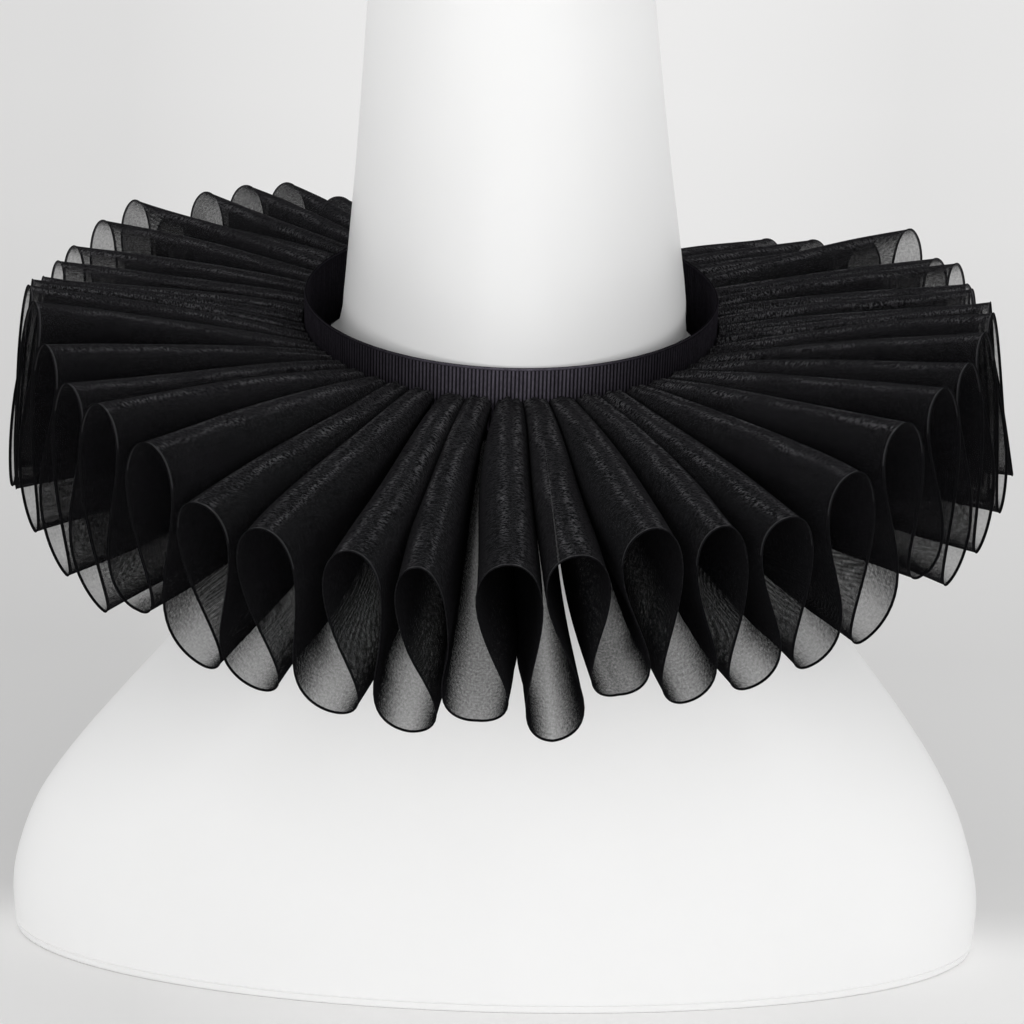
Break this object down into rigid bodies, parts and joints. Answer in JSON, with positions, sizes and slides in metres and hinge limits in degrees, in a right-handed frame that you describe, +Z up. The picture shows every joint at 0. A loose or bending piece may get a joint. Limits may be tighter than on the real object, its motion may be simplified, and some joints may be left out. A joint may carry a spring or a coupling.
{
  "type": "ruff collar on display form",
  "caption": "Pleated ruff collar of sheer ribbon gathered to a grosgrain neckband, resting round the neck of a limbless neck and shoulder display form.",
  "frame": {"origin": "centre of the bounding box at the display form's base", "axes": "+Z up along the neck, -Y towards the wearer's front, +X towards the wearer's left"},
  "size_m": [0.3372, 0.3405, 0.3476],
  "materials": {
    "form_shell": "white, satin",
    "grosgrain": "charcoal black ribbed ribbon, matt",
    "sheer_ribbon": "black sheer plain weave, soft sheen",
    "black_wire": "black enamel, gloss"
  },
  "bodies": {
    "root": {"display_form": "form_shell", "neckband": "grosgrain", "ruffle": "sheer_ribbon", "hook": "black_wire", "eye": "black_wire"}
  },
  "joints": []
}
